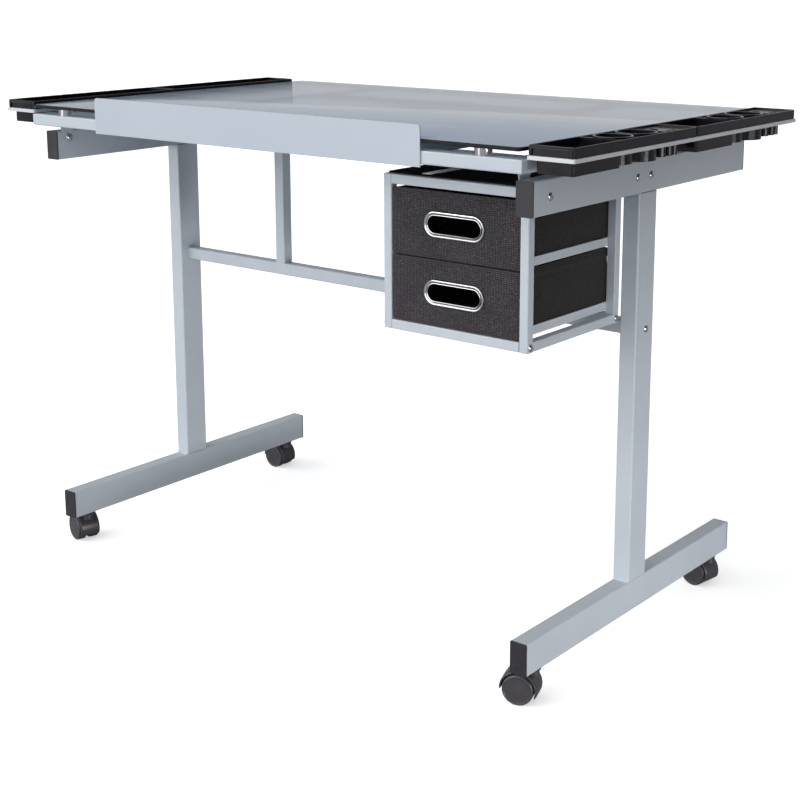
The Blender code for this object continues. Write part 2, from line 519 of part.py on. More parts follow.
# ---------------------------------------------------------------- drawers
DRW_X0, DRW_X1 = CAB_X0 + CAB_T + 0.7, CAB_X1 - CAB_T - 0.7
drawer_objects = {}
for lvl, fz0, fz1, bz, ztop in (("lower", 474.8, 562.0, RUN_Z[0] + 1.8, 562.8),
                                ("upper", 563.6, 650.6, RUN_Z[1] + 1.8, 646.0)):
    zc = (fz0 + fz1) / 2 + 1.0
    xc = (DRW_X0 + DRW_X1) / 2
    panel = cube(DRW_X0, DRW_X1, CAB_Y0 + 1.0, CAB_Y0 + 6.0, fz0, fz1, r=1.6, seg=2, axes="Y")
    box = cube(DRW_X0 + 2.0, DRW_X1 - 2.0, CAB_Y0 + 5.5, CAB_Y1 - 5.0, bz, ztop, r=2.0, seg=1, axes="Z")
    cavity = cube(DRW_X0 + 5.0, DRW_X1 - 5.0, CAB_Y0 + 9.0, CAB_Y1 - 8.0, bz + 3.0, ztop + 5)
    slot_r = 12.6
    hw = 43.0 - slot_r
    hole = [cube(xc - hw, xc + hw, CAB_Y0 - 4, CAB_Y0 + 14, zc - slot_r, zc + slot_r),
            cyl((xc - hw, CAB_Y0 - 4, zc), "Y", slot_r, 18, 24), cyl((xc + hw, CAB_Y0 - 4, zc), "Y", slot_r, 18, 24)]
    drawer_objects["drawer_" + lvl] = solid(
        "drawer_" + lvl, panel, fabric(), plus=[box], minus=[cavity] + hole)

    def oblong(half, r, n=10):
        p = []
        for sx, a0 in ((1, -math.pi / 2), (-1, math.pi / 2)):
            for k in range(n + 1):
                a = a0 + math.pi * k / n
                p.append((xc + sx * half + r * math.cos(a), zc + r * math.sin(a)))
        return p

    # pressed chrome eyelet: a face ring in front and a neck through the wall
    face = outline(oblong(hw, 17.5), "Y", CAB_Y0 - 1.3, CAB_Y0 + 0.7)
    neck = outline(oblong(hw, slot_r - 0.4), "Y", CAB_Y0 + 0.2, CAB_Y0 + 9.8)
    bore = outline(oblong(hw, slot_r - 1.6), "Y", CAB_Y0 - 6, CAB_Y0 + 16)
    drawer_objects["grommet_" + lvl] = solid("drawer_grommet_" + lvl, face, chrome(), plus=[neck], minus=[bore],
                                             smooth=40)

# ---------------------------------------------------------------- casters
# resting directions of the trail, seen from above
CASTERS = {"front_right": (1, -1, 199.0), "front_left": (-1, -1, 165.0),
           "rear_right": (1, 1, 172.0), "rear_left": (-1, 1, 180.0)}
caster_objects = []
for cn, (sx, sy, yaw) in CASTERS.items():
    pivot = bpy.data.objects.new("caster_axis_" + cn, None)
    parts.objects.link(pivot)
    pivot.location = (sx * STEM_X * MM, (sy * STEM_Y + YS) * MM, 0.0)
    pivot.rotation_euler = (0, 0, math.radians(yaw))

    # hood: an arched shell over both wheels, with a middle web and a stem
    ro, ri, hwid = 25.4, 22.4, 16.5
    a0, a1 = math.radians(-24), math.radians(184)
    n = 16
    arc = []
    for k in range(n + 1):                           # outer arc, from the nose to the tail
        a = math.pi - (a0 + (a1 - a0) * k / n)
        arc.append((TRAIL + ro * math.cos(a), WHEEL_R + ro * math.sin(a)))
    for k in range(n + 1):
        a = math.pi - (a1 + (a0 - a1) * k / n)
        arc.append((TRAIL + ri * math.cos(a), WHEEL_R + ri * math.sin(a)))
    old = YS
    YS = 0.0
    hood = outline([(x, z) for x, z in arc], "Y", -hwid, hwid)
    web_pts = [(TRAIL + ro * 0.97 * math.cos(math.pi - (a0 + (a1 - a0) * k / n)),
                WHEEL_R + ro * 0.97 * math.sin(math.pi - (a0 + (a1 - a0) * k / n))) for k in range(n + 1)]
    web = outline(web_pts, "Y", -3.2, 3.2)
    boss = cyl((TRAIL, -3.65, WHEEL_R), "Y", 7.0, 7.3, 16)
    collar = cyl((0, 0, 34.0), "Z", 8.0, FOOT_Z0 - GAP - 34.0, 20)
    stem = cyl((0, 0, 36.0), "Z", 4.0, 48.0, 16)
    axle_hole = cyl((TRAIL, -6.0, WHEEL_R), "Y", 3.4, 12.0, 16)
    # the collar is kept out of the wheels' space
    clear = [cyl((TRAIL, yo, WHEEL_R), "Y", ri - 0.5, 17.0, 32) for yo in (3.4, -20.4)]
    fork = solid("caster_hood_" + cn, hood, plastic(), plus=[web, boss, collar, stem],
                 minus=clear + [axle_hole], smooth=35)
    # a pair of wheels on one axle
    disc = cyl((0, 4.0, 0), "Y", WHEEL_R, 14.6, 32)
    disc2 = cyl((0, -18.6, 0), "Y", WHEEL_R, 14.6, 32)
    for d, yo in ((disc, 18.6 * MM), (disc2, -18.6 * MM)):
        rim = [e for e in d.edges if abs(abs(e.verts[0].co.y) - 18.6) < 0.01 and abs(abs(e.verts[1].co.y) - 18.6) < 0.01]
        bmesh.ops.bevel(d, geom=rim, offset=1.8, segments=2, profile=0.5, affect="EDGES")
    axle = cyl((0, -6.0, 0), "Y", 3.0, 12.0, 16)
    wheels = solid("caster_wheels_" + cn, disc, plastic(), plus=[axle, disc2], smooth=40)
    YS = old
    fork.parent = pivot
    wheels.parent = pivot
    wheels.location = (TRAIL * MM, 0.0, WHEEL_R * MM)
    caster_objects += [fork, wheels]

# ------------------------------------------------ joint axes, as parent empties
bpy.context.view_layer.update()


def hang(name, loc, children):
    e = bpy.data.objects.new(name, None)
    parts.objects.link(e)
    e.location = (loc[0] * MM, (loc[1] + YS) * MM, loc[2] * MM)
    inv = Matrix.Translation(Vector(e.location)).inverted()
    for c in children:
        c.parent = e
        c.matrix_parent_inverse = inv
    return e


hang("axis_tilt", (0, TILT_Y, TILT_Z), top_parts)
hang("axis_prop", (0, PROP_Y, PROP_Z), [prop_arm])
hang("axis_ledge", (0, LEDGE_Y1, LEDGE_Z0), [pencil_ledge])
for nm, ob in tray_objects.items():
    sx = 1 if "right" in nm else -1
    hang("axis_" + nm, (sx * (TRAY_X0 + TRAY_X1) / 2, -146 if "front" in nm else 146, TRAY_ZM), [ob])
for lvl in ("lower", "upper"):
    hang("axis_drawer_" + lvl, ((CAB_X0 + CAB_X1) / 2, CAB_Y0, 520 if lvl == "lower" else 608),
         [drawer_objects["drawer_" + lvl], drawer_objects["grommet_" + lvl]])
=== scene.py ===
"""Looks for the drafting table: materials, fine pieces, floor, lights and camera."""
import json
import math
import random
import bpy
import bmesh
from mathutils import Matrix, Vector, noise


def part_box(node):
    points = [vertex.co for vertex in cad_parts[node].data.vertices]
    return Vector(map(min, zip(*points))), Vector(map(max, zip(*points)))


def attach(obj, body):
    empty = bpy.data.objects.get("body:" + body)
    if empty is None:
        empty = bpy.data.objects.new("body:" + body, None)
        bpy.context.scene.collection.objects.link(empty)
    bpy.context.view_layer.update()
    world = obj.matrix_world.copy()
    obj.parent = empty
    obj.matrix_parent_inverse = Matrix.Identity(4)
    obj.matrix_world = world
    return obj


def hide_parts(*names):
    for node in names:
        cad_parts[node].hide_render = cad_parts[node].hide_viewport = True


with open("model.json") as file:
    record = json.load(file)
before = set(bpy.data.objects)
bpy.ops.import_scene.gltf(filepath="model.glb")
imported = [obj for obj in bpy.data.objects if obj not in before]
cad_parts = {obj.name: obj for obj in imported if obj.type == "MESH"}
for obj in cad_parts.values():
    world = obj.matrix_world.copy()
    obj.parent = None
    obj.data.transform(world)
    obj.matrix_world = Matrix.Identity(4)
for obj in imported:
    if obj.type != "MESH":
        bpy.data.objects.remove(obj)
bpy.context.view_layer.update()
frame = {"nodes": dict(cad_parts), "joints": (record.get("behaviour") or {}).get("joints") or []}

MM = 0.001
nodes = frame["nodes"]


# ------------------------------------------------------------------ materials
class Graph:
    """A small helper for building node materials."""

    def __init__(self, name):
        self.m = bpy.data.materials.new(name)
        self.m.use_nodes = True
        self.t = self.m.node_tree
        self.b = self.t.nodes["Principled BSDF"]
        self.co = self.t.nodes.new("ShaderNodeTexCoord").outputs["Object"]

    def node(self, kind, **values):
        n = self.t.nodes.new(kind)
        for k, v in values.items():
            if k in n.inputs:
                n.inputs[k].default_value = v
            else:
                setattr(n, k, v)
        return n

    def link(self, a, b):
        self.t.links.new(a, b)

    def set(self, **values):
        for k, v in values.items():
            self.b.inputs[k.replace("_", " ")].default_value = v

    def noise(self, scale, detail=2.0, rough=0.5, co=None, stretch=None):
        n = self.node("ShaderNodeTexNoise", Scale=scale, Detail=detail, Roughness=rough)
        src = co or self.co
        if stretch:
            mp = self.node("ShaderNodeMapping", Scale=stretch)
            self.link(src, mp.inputs["Vector"])
            src = mp.outputs["Vector"]
        self.link(src, n.inputs["Vector"])
        return n.outputs["Fac"]

    def math(self, op, a, b=None, clamp=False):
        n = self.node("ShaderNodeMath", operation=op, use_clamp=clamp)
        for i, v in enumerate((a, b)):
            if v is None:
                continue
            if isinstance(v, (int, float)):
                n.inputs[i].default_value = v
            else:
                self.link(v, n.inputs[i])
        return n.outputs[0]

    def span(self, fac, a0, a1, b0, b1):
        n = self.node("ShaderNodeMapRange")
        self.link(fac, n.inputs["Value"])
        for k, v in (("From Min", a0), ("From Max", a1), ("To Min", b0), ("To Max", b1)):
            n.inputs[k].default_value = v
        return n.outputs["Result"]

    def ramp(self, fac, stops):
        n = self.node("ShaderNodeValToRGB")
        e = n.color_ramp.elements
        while len(e) < len(stops):
            e.new(0.5)
        for s, (p, c) in zip(e, stops):
            s.position = p
            s.color = (*c, 1.0)
        self.link(fac, n.inputs["Fac"])
        return n.outputs["Color"]

    def mix(self, fac, a, b):
        n = self.node("ShaderNodeMix", data_type="RGBA")
        for i, v in ((0, fac), (6, a), (7, b)):
            if isinstance(v, (int, float)):
                n.inputs[i].default_value = v
            elif isinstance(v, tuple):
                n.inputs[i].default_value = (*v, 1.0)
            else:
                self.link(v, n.inputs[i])
        return n.outputs[2]

    def bump(self, height, strength, distance, normal=None):
        n = self.node("ShaderNodeBump", Strength=strength, Distance=distance)
        self.link(height, n.inputs["Height"])
        if normal:
            self.link(normal, n.inputs["Normal"])
        return n.outputs["Normal"]

    def rounding(self, radius):
        n = self.node("ShaderNodeBevel", Radius=radius, samples=4)
        return n.outputs["Normal"]

    def done(self, normal=None):
        if normal:
            self.link(normal, self.b.inputs["Normal"])
        return self.m


def powder_coat(name, light, dark, rough=0.47, metal=0.08, edge=0.0009):
    """Silver-blue powder coat: orange peel, fine metal flake and a broad random variation in tone."""
    g = Graph(name)
    flake = g.noise(2600.0, 1.0)
    broad = g.noise(7.0, 3.0, 0.6)
    peel = g.noise(420.0, 2.0, 0.45)
    c = g.mix(g.span(broad, 0.35, 0.65, 0.0, 1.0), dark, light)
    c = g.mix(g.span(flake, 0.62, 0.72, 0.0, 0.35), c, tuple(min(1.0, v * 1.35) for v in light))
    g.link(c, g.b.inputs["Base Color"])
    g.link(g.span(flake, 0.3, 0.75, rough + 0.06, rough - 0.10), g.b.inputs["Roughness"])
    g.set(Metallic=metal, Specular_IOR_Level=0.4, Coat_Weight=0.06, Coat_Roughness=0.30)
    n = g.rounding(edge)
    n = g.bump(peel, 0.10, 0.0004, n)
    return g.done(n)


def moulded(name, color, rough, grain=1800.0, depth=0.0002, strength=0.25, edge=0.0006, coat=0.0, spec=0.5):
    """Injection-moulded plastic: fine spark-eroded grain, slight flow marks in the gloss."""
    g = Graph(name)
    fine = g.noise(grain, 2.0, 0.6)
    flow = g.noise(24.0, 3.0, 0.55, stretch=(1.0, 0.35, 1.0))
    dust = g.noise(130.0, 4.0, 0.7)
    c = g.mix(g.span(dust, 0.5, 0.8, 0.0, 0.5), color, tuple(min(1.0, v * 1.7 + 0.004) for v in color))
    g.link(c, g.b.inputs["Base Color"])
    g.link(g.span(flow, 0.3, 0.7, rough - 0.05, rough + 0.08), g.b.inputs["Roughness"])
    g.set(Specular_IOR_Level=spec, Coat_Weight=coat, Coat_Roughness=0.12)
    n = g.rounding(edge) if edge else None
    n = g.bump(fine, strength, depth, n)
    return g.done(n)


def plated(name, color=(0.72, 0.72, 0.74), rough=0.06, edge=0.0):
    """Chrome plate: bright, with faint polishing lines and smudges."""
    g = Graph(name)
    lines = g.noise(900.0, 2.0, 0.5, stretch=(1.0, 1.0, 0.08))
    smudge = g.noise(60.0, 4.0, 0.65)
    c = g.mix(g.span(smudge, 0.4, 0.75, 0.0, 0.6), color, tuple(v * 0.86 for v in color))
    g.link(c, g.b.inputs["Base Color"])
    g.link(g.math("ADD", g.span(smudge, 0.35, 0.8, rough, rough + 0.10), g.span(lines, 0.4, 0.6, 0.0, 0.03)),
           g.b.inputs["Roughness"])
    g.set(Metallic=1.0)
    n = g.rounding(edge) if edge else None
    n = g.bump(lines, 0.04, 0.0001, n)
    return g.done(n)


def woven(name, thread, gap, pitch=0.0030, plane="XZ", sheen=0.12, spec=0.2):
    """Coarse diagonal weave of stiffened non-woven cloth, its threads crossing at 45 degrees."""
    g = Graph(name)
    sep = g.node("ShaderNodeSeparateXYZ")
    g.link(g.co, sep.inputs[0])
    a = sep.outputs["XYZ".index(plane[0])]
    b = sep.outputs["XYZ".index(plane[1])]
    wob = g.span(g.noise(160.0, 2.0), 0.3, 0.7, -0.00025, 0.00025)
    u = g.math("ADD", g.math("ADD", a, b), wob)
    v = g.math("ADD", g.math("SUBTRACT", a, b), wob)
    k = 2 * math.pi / pitch / math.sqrt(2)
    su = g.math("SINE", g.math("MULTIPLY", u, k))
    sv = g.math("SINE", g.math("MULTIPLY", v, k))
    weave = g.math("MULTIPLY", su, sv)                        # a chequer of raised crossings
    rib = g.math("ABSOLUTE", su)
    h = g.math("ADD", g.math("MULTIPLY", weave, 0.7), g.math("MULTIPLY", rib, 0.3))
    fuzz = g.noise(3200.0, 2.0, 0.7)
    patch = g.noise(16.0, 3.0, 0.55)
    c = g.mix(g.span(h, -0.25, 0.65, 0.0, 1.0), gap, thread)
    c = g.mix(g.span(fuzz, 0.55, 0.8, 0.0, 0.35), c, tuple(min(1.0, t * 2.2) for t in thread))
    yarn = g.noise(620.0, 2.0, 0.6)
    c = g.mix(g.span(yarn, 0.42, 0.68, 0.0, 0.60), c, gap)
    c = g.mix(g.span(yarn, 0.42, 0.30, 0.0, 0.45), c, tuple(min(1.0, t * 1.9) for t in thread))
    c = g.mix(g.span(patch, 0.35, 0.7, 0.0, 0.30), c, gap)
    g.link(c, g.b.inputs["Base Color"])
    g.link(g.span(h, -1.0, 1.0, 0.92, 0.74), g.b.inputs["Roughness"])
    g.set(Sheen_Weight=sheen, Sheen_Roughness=0.5, Specular_IOR_Level=spec)
    n = g.bump(h, 0.8, 0.0007)
    n = g.bump(fuzz, 0.25, 0.0002, n)
    return g.done(n)


def frosted_glass():
    """Tempered glass: pale blue tint, lightly satined, with a few faint wipe marks."""
    g = Graph("glass_pale_blue")
    wipe = g.noise(5.0, 3.0, 0.6, stretch=(1.0, 3.0, 1.0))
    speck = g.noise(700.0, 2.0, 0.6)
    c = g.mix(g.span(wipe, 0.3, 0.7, 0.0, 1.0), (0.55, 0.67, 0.82), (0.60, 0.71, 0.86))
    g.link(c, g.b.inputs["Base Color"])
    r = g.math("ADD", g.span(wipe, 0.3, 0.7, 0.10, 0.12), g.span(speck, 0.6, 0.8, 0.0, 0.02))
    g.link(r, g.b.inputs["Roughness"])
    g.set(Transmission_Weight=0.52, IOR=1.45, Specular_IOR_Level=0.35)
    return g.done(g.bump(speck, 0.01, 0.00005))


def glass_edge():
    """The ground edge of tempered glass, deep green-black where light is trapped in the sheet."""
    g = Graph("glass_edge_dark")
    n = g.noise(90.0, 2.0, 0.5, stretch=(1.0, 1.0, 0.2))
    g.link(g.mix(g.span(n, 0.3, 0.7, 0.0, 1.0), (0.002, 0.003, 0.004), (0.006, 0.009, 0.010)), g.b.inputs["Base Color"])
    g.set(Roughness=0.30, Specular_IOR_Level=0.22)
    return g.done()


def rubber():
    g = Graph("rubber_black")
    fine = g.noise(1500.0, 3.0, 0.6)
    dust = g.noise(90.0, 4.0, 0.7)
    g.link(g.mix(g.span(dust, 0.45, 0.8, 0.0, 0.6), (0.012, 0.012, 0.012), (0.045, 0.043, 0.041)), g.b.inputs["Base Color"])
    g.set(Roughness=0.78)
    return g.done(g.bump(fine, 0.3, 0.0002, g.rounding(0.0006)))


M_STEEL = powder_coat("powder_coat_silver", (0.49, 0.535, 0.585), (0.45, 0.495, 0.545))
M_RING = powder_coat("powder_coat_ring", (0.60, 0.63, 0.66), (0.56, 0.59, 0.62), rough=0.34, edge=0.0006)
M_LEDGE = powder_coat("silver_paint_ledge", (0.44, 0.49, 0.55), (0.42, 0.47, 0.53), rough=0.42, edge=0.0004)
M_WELD = powder_coat("powder_coat_weld", (0.50, 0.55, 0.60), (0.38, 0.43, 0.48), rough=0.45, edge=0.0)
M_CAP = moulded("cap_black", (0.021, 0.020, 0.026), 0.32)
M_TRAY = moulded("tray_black", (0.0040, 0.0038, 0.0068), 0.20, grain=1200.0, strength=0.08, edge=0.0005, spec=0.36)
M_RIM = moulded("tray_rim_gloss", (0.009, 0.0085, 0.011), 0.16, grain=900.0, strength=0.05, edge=0.0, spec=0.65)
# an off-white for the strip on the dust cover: a painted highlight
M_PAINTED_HIGHLIGHT = moulded("painted_highlight_off_white", (0.93, 0.92, 0.89), 0.55, edge=0.0)
M_CASTER = moulded("caster_black", (0.042, 0.038, 0.044), 0.36, edge=0.0)
M_CHROME = plated("chrome_bright")
M_ZINC = plated("zinc_screw", (0.58, 0.59, 0.61), 0.13)
# a dark chrome for the eyelet's hollows: painted shade and painted dark reflection
M_CHROME_PAINTED_SHADE = plated("chrome_painted_shade", (0.060, 0.060, 0.065), 0.25)
M_RUBBER = rubber()
M_GLASS = frosted_glass()
M_GLASS_EDGE = glass_edge()
M_FAB_F = woven("weave_front", (0.088, 0.079, 0.090), (0.0035, 0.003, 0.0045), pitch=0.0034)
# the side copy of the cloth is darker than the front: painted shade on the faces turned from the light
M_FAB_SIDE_SHADED = woven("weave_side_painted_shade", (0.030, 0.027, 0.026), (0.003, 0.0028, 0.003), plane="YZ")
# the top copy of the cloth is darker still: painted shade for the cover under the glass top
M_FAB_TOP_SHADED = woven("weave_top_painted_shade", (0.010, 0.009, 0.010), (0.002, 0.002, 0.002), plane="XY", sheen=0.0, spec=0.03)
M_THREAD = woven("stitch_thread", (0.10, 0.095, 0.10), (0.03, 0.028, 0.03), pitch=0.0006)


def paint(node, mat):
    ob = nodes[node]
    if not ob.material_slots:
        ob.data.materials.append(mat)
    for s in ob.material_slots:
        s.material = mat


RULES = (("foot_cap", M_CAP), ("rail_cap", M_CAP), ("glass_spacer", M_CHROME), ("glass_top", M_GLASS),
         # the cabinet's cover takes the darkest copy of the cloth: painted shade under the glass
         ("tray_ring", M_RING), ("pencil_ledge", M_LEDGE), ("cabinet_top", M_FAB_TOP_SHADED), ("tray_", M_TRAY), ("rest_bumper", M_RUBBER),
         ("caster_", M_CASTER), ("drawer_grommet", M_CHROME), ("drawer_", M_FAB_F))
for name in nodes:
    paint(name, next((m for key, m in RULES if name.startswith(key)), M_STEEL))


# -------------------------------------------------------------- mesh helpers
def finish_mesh(name, bm, mat, body, smooth=40.0):
    bmesh.ops.recalc_face_normals(bm, faces=bm.faces)
    me = bpy.data.meshes.new(name)
    bm.to_mesh(me)
    bm.free()
    ob = bpy.data.objects.new(name, me)
    bpy.context.scene.collection.objects.link(ob)
    me.materials.append(mat)
    if smooth:
        me.shade_smooth()
        me.set_sharp_from_angle(angle=math.radians(smooth))
    if body:
        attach(ob, body)
    return ob


def lathe(bm, profile, n=48, frame_m=None):
    """A closed turned solid from (radius, height) points, turned about Z, in mm."""
    m = frame_m or Matrix()
    rings = []
    for r, z in profile:
        if r < 1e-6:
            rings.append([bm.verts.new(m @ Vector((0, 0, z * MM)))])
        else:
            rings.append([bm.verts.new(m @ Vector((r * math.cos(2 * math.pi * k / n) * MM,
                                                   r * math.sin(2 * math.pi * k / n) * MM, z * MM))) for k in range(n)])
    for a, b in zip(rings, rings[1:]):
        for k in range(n):
            j = (k + 1) % n
            if len(a) == 1 and len(b) == 1:
                continue
            if len(a) == 1:
                bm.faces.new((a[0], b[k], b[j]))
            elif len(b) == 1:
                bm.faces.new((a[k], b[0], a[j]))
            else:
                bm.faces.new((a[k], b[k], b[j], a[j]))
    return rings


def loft(bm, rings, close_rings=False):
    """Faces between closed rings of equal length; close_rings joins the last ring to the first."""
    vs = [[bm.verts.new(p) for p in ring] for ring in rings]
    n = len(vs[0])
    pairs = list(zip(vs, vs[1:])) + ([(vs[-1], vs[0])] if close_rings else [])
    for a, b in pairs:
        for k in range(n):
            j = (k + 1) % n
            bm.faces.new((a[k], b[k], b[j], a[j]))
    return vs


def bend_profile(points, r, n=5):
    """Rounds the inner corners of an open 2D polyline by radius r."""
    out = [points[0]]
    for p0, p1, p2 in zip(points, points[1:], points[2:]):
        a, b, c = Vector(p0), Vector(p1), Vector(p2)
        d0, d1 = (a - b), (c - b)
        q = min(r, d0.length * 0.45, d1.length * 0.45)
        s, e = b + d0.normalized() * q, b + d1.normalized() * q
        for k in range(n + 1):
            t = k / n
            out.append(tuple(s * (1 - t) ** 2 + b * 2 * t * (1 - t) + e * t ** 2))
    out.append(points[-1])
    return out


def rrect(x0, x1, y0, y1, r, n=6):
    """Points of a rounded rectangle, counter-clockwise."""
    out = []
    for cx, cy, a0 in ((x1 - r, y1 - r, 0), (x0 + r, y1 - r, 90), (x0 + r, y0 + r, 180), (x1 - r, y0 + r, 270)):
        for k in range(n + 1):
            a = math.radians(a0 + 90 * k / n)
            out.append((cx + r * math.cos(a), cy + r * math.sin(a)))
    return out


def oblong(cx, cy, half, r, n=20):
    out = []
    for sx, a0 in ((1, -90), (-1, 90)):
        for k in range(n + 1):
            a = math.radians(a0 + 180 * k / n)
            out.append((cx + sx * half + r * math.cos(a), cy + r * math.sin(a)))
    return out


def tube_along(bm, pts, r, n=8, wobble=0.0, seed=0.0, closed=False):
    """A round bead along points in metres, its radius in metres and slightly uneven."""
    P = [Vector(p) for p in pts]
    rings = []
    for i, p in enumerate(P):
        a = P[i - 1] if (i or closed) else P[i]
        b = P[(i + 1) % len(P)] if (i < len(P) - 1 or closed) else P[i]
        d = (b - a).normalized()
        up = Vector((0, 0, 1)) if abs(d.z) < 0.9 else Vector((1, 0, 0))
        s = d.cross(up).normalized()
        u = s.cross(d)
        rr = r * (1 + wobble * noise.noise(Vector((i * 0.9, seed, 3.1))))
        if not closed and i in (0, len(P) - 1):
            rr *= 0.25
        rings.append([p + (s * math.cos(2 * math.pi * k / n) + u * math.sin(2 * math.pi * k / n)) * rr for k in range(n)])
    vs = loft(bm, rings, close_rings=closed)
    if not closed:
        bm.faces.new(vs[0])
        bm.faces.new(list(reversed(vs[-1])))


def line(a, b, n):
    a, b = Vector(a), Vector(b)
    return [a.lerp(b, k / n) for k in range(n + 1)]


# -------------------------------------------------------------- screw heads
def screw_mesh():
    """A pan head with a cross recess, standing on z = 0 and facing +Z."""
    bm = bmesh.new()
    prof = [(0, -0.2), (4.3, -0.2), (4.45, 0.25), (4.3, 0.9)]
    for k in range(1, 9):
        a = math.radians(12 + 78 * k / 8)
        prof.append((4.3 * math.cos(a) if k < 8 else 0.0, 0.6 + 1.75 * math.sin(a)))
    lathe(bm, prof, 40)
    head = finish_mesh("screw_head_master", bm, M_ZINC, None, 35)
    for i, (sx, sy) in enumerate(((0.9, 4.4), (4.4, 0.9))):
        c = bmesh.new()
        bmesh.ops.create_cube(c, size=1.0)
        bmesh.ops.scale(c, vec=(sx * MM, sy * MM, 3.0 * MM), verts=c.verts)
        bmesh.ops.translate(c, vec=(0, 0, 2.75 * MM), verts=c.verts)
        me = bpy.data.meshes.new("slot")
        c.to_mesh(me)
        c.free()
        t = bpy.data.objects.new("slot", me)
        bpy.context.scene.collection.objects.link(t)
        mod = head.modifiers.new("cut", "BOOLEAN")
        mod.operation, mod.object, mod.solver = "DIFFERENCE", t, "EXACT"
        me2 = bpy.data.meshes.new_from_object(head.evaluated_get(bpy.context.evaluated_depsgraph_get()))
        head.modifiers.clear()
        head.data = me2
        bpy.data.objects.remove(t, do_unlink=True)
    me = head.data
    me.shade_smooth()
    me.set_sharp_from_angle(angle=math.radians(35))
    bpy.data.objects.remove(head, do_unlink=True)
    return me


SCREW = screw_mesh()


def screw(name, pos, normal, body, turn=0.0, size=1.0):
    ob = bpy.data.objects.new(name, SCREW)
    bpy.context.scene.collection.objects.link(ob)
    q = Vector(normal).to_track_quat("Z", "Y")
    ob.matrix_world = Matrix.Translation(Vector(pos)) @ q.to_matrix().to_4x4() @ Matrix.Rotation(turn, 4, "Z") @ Matrix.Scale(size * 1.22, 4)
    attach(ob, body)
    return ob


def cut(ob, tool_bm):
    """Cuts a shape out of a piece and keeps the result as its mesh."""
    me = bpy.data.meshes.new("tool")
    bmesh.ops.recalc_face_normals(tool_bm, faces=tool_bm.faces)
    tool_bm.to_mesh(me)
    tool_bm.free()
    t = bpy.data.objects.new("tool", me)
    bpy.context.scene.collection.objects.link(t)
    mod = ob.modifiers.new("cut", "BOOLEAN")
    mod.operation, mod.object, mod.solver = "DIFFERENCE", t, "EXACT"
    out = bpy.data.meshes.new_from_object(ob.evaluated_get(bpy.context.evaluated_depsgraph_get()))
    ob.modifiers.clear()
    ob.data = out
    bpy.data.objects.remove(t, do_unlink=True)
    return ob


# ------------------------------------------------------------------ drawers
def shell_rings(x0, x1, y0, y1, z0, z1, wall, r=0.004, bulge=0.0006, n=6):
    """Rings of an open fabric box: outside up, over a rolled hem, inside down."""
    rings = []
    h = z1 - z0

    def ring(off, z, rr):
        return [Vector((px, py, z)) for px, py in rrect(x0 + off, x1 - off, y0 + off, y1 - off, max(rr, 0.0006), n)]

    rings.append(ring(0.0045, z0, r))
    rings.append(ring(0.0012, z0 + 0.0002, r))
    rings.append(ring(0.0002, z0 + 0.0012, r))
    for k in range(1, 9):
        t = k / 9
        z = z0 + 0.0012 + (h - 0.0135) * t
        rings.append(ring(-bulge * math.sin(math.pi * t) + 0.0001, z, r))
    zh = z1 - 0.012                                  # the hem's lower edge stands proud of the wall
    rings.append(ring(0.0001, zh, r))
    rings.append(ring(-0.00045, zh + 0.0003, r))
    rings.append(ring(-0.00050, z1 - 0.0012, r))
    rings.append(ring(0.0003, z1 - 0.0002, r))
    rings.append(ring(wall * 0.5, z1, r))
    rings.append(ring(wall - 0.0002, z1 - 0.0004, r))
    rings.append(ring(wall + 0.0002, z1 - 0.0014, r))
    rings.append(ring(wall + 0.0002, zh, r))
    rings.append(ring(wall, zh - 0.0003, r))
    rings.append(ring(wall, z0 + 0.005, r * 0.7))
    rings.append(ring(wall + 0.0025, z0 + 0.003, r * 0.6))
    return rings


def stitches(bm, pts, out, pitch=0.0042, length=0.0030, r=0.00042):
    """A row of thread stitches along a polyline, lying on a surface that faces out."""
    out = Vector(out)
    for a, b in zip(pts, pts[1:]):
        a, b = Vector(a), Vector(b)
        d = (b - a)
        n = max(1, int(d.length / pitch))
        u = d.normalized()
        s = u.cross(out)
        for i in range(n):
            c = a + d * ((i + 0.5) / n)
            rings = []
            for t, k in ((-0.5, 0.25), (-0.36, 0.85), (0.0, 1.0), (0.36, 0.85), (0.5, 0.25)):
                lift = out * (r * (0.55 - 1.3 * abs(t)))
                rings.append([c + u * (t * length) + lift + (s * math.cos(q) + out * math.sin(q)) * (r * k)
                              for q in (2 * math.pi * j / 6 for j in range(6))])
            vs = loft(bm, rings)
            bm.faces.new(vs[0])
            bm.faces.new(list(reversed(vs[-1])))


